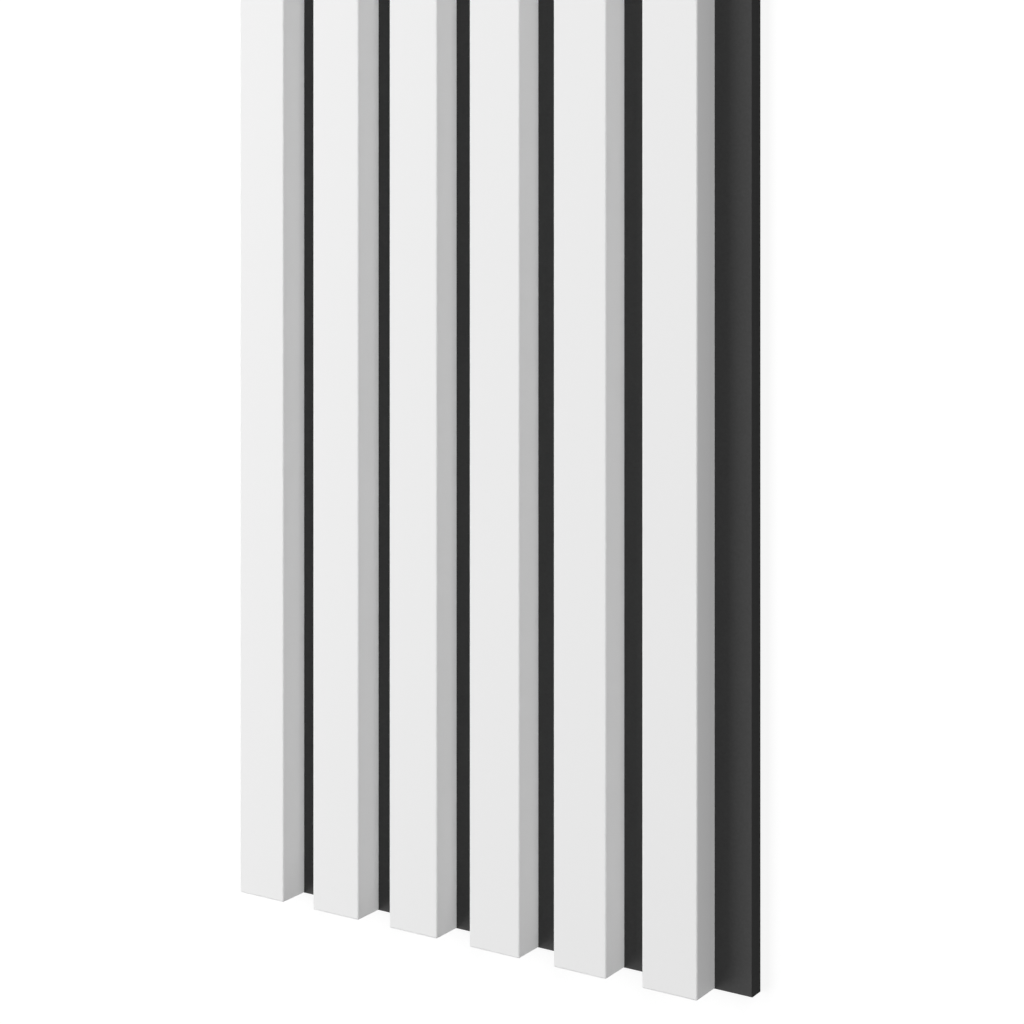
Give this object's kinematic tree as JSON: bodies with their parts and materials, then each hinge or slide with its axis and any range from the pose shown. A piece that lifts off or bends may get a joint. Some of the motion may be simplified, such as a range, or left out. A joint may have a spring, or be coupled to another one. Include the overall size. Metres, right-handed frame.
{
  "type": "slat wall panel",
  "caption": "Flat wall panel of parallel white slats with eased edges on a charcoal backing board, with one bare edge strip where the next panel butts on.",
  "frame": {"origin": "middle of the backing board's back face, which the panel lies on", "axes": "+X across the slats towards the bare joint strip, +Y along the slats away from the end the picture shows, +Z out of the slat faces"},
  "size_m": [0.3, 2.4, 0.027],
  "materials": {
    "white_slat": "matt white lacquer on MDF",
    "charcoal_board": "smooth matt charcoal MDF, coloured through"
  },
  "bodies": {
    "root": {"backing_board": "charcoal_board", "slat_1": "white_slat", "slat_2": "white_slat", "slat_3": "white_slat", "slat_4": "white_slat", "slat_5": "white_slat", "slat_6": "white_slat"}
  },
  "joints": []
}
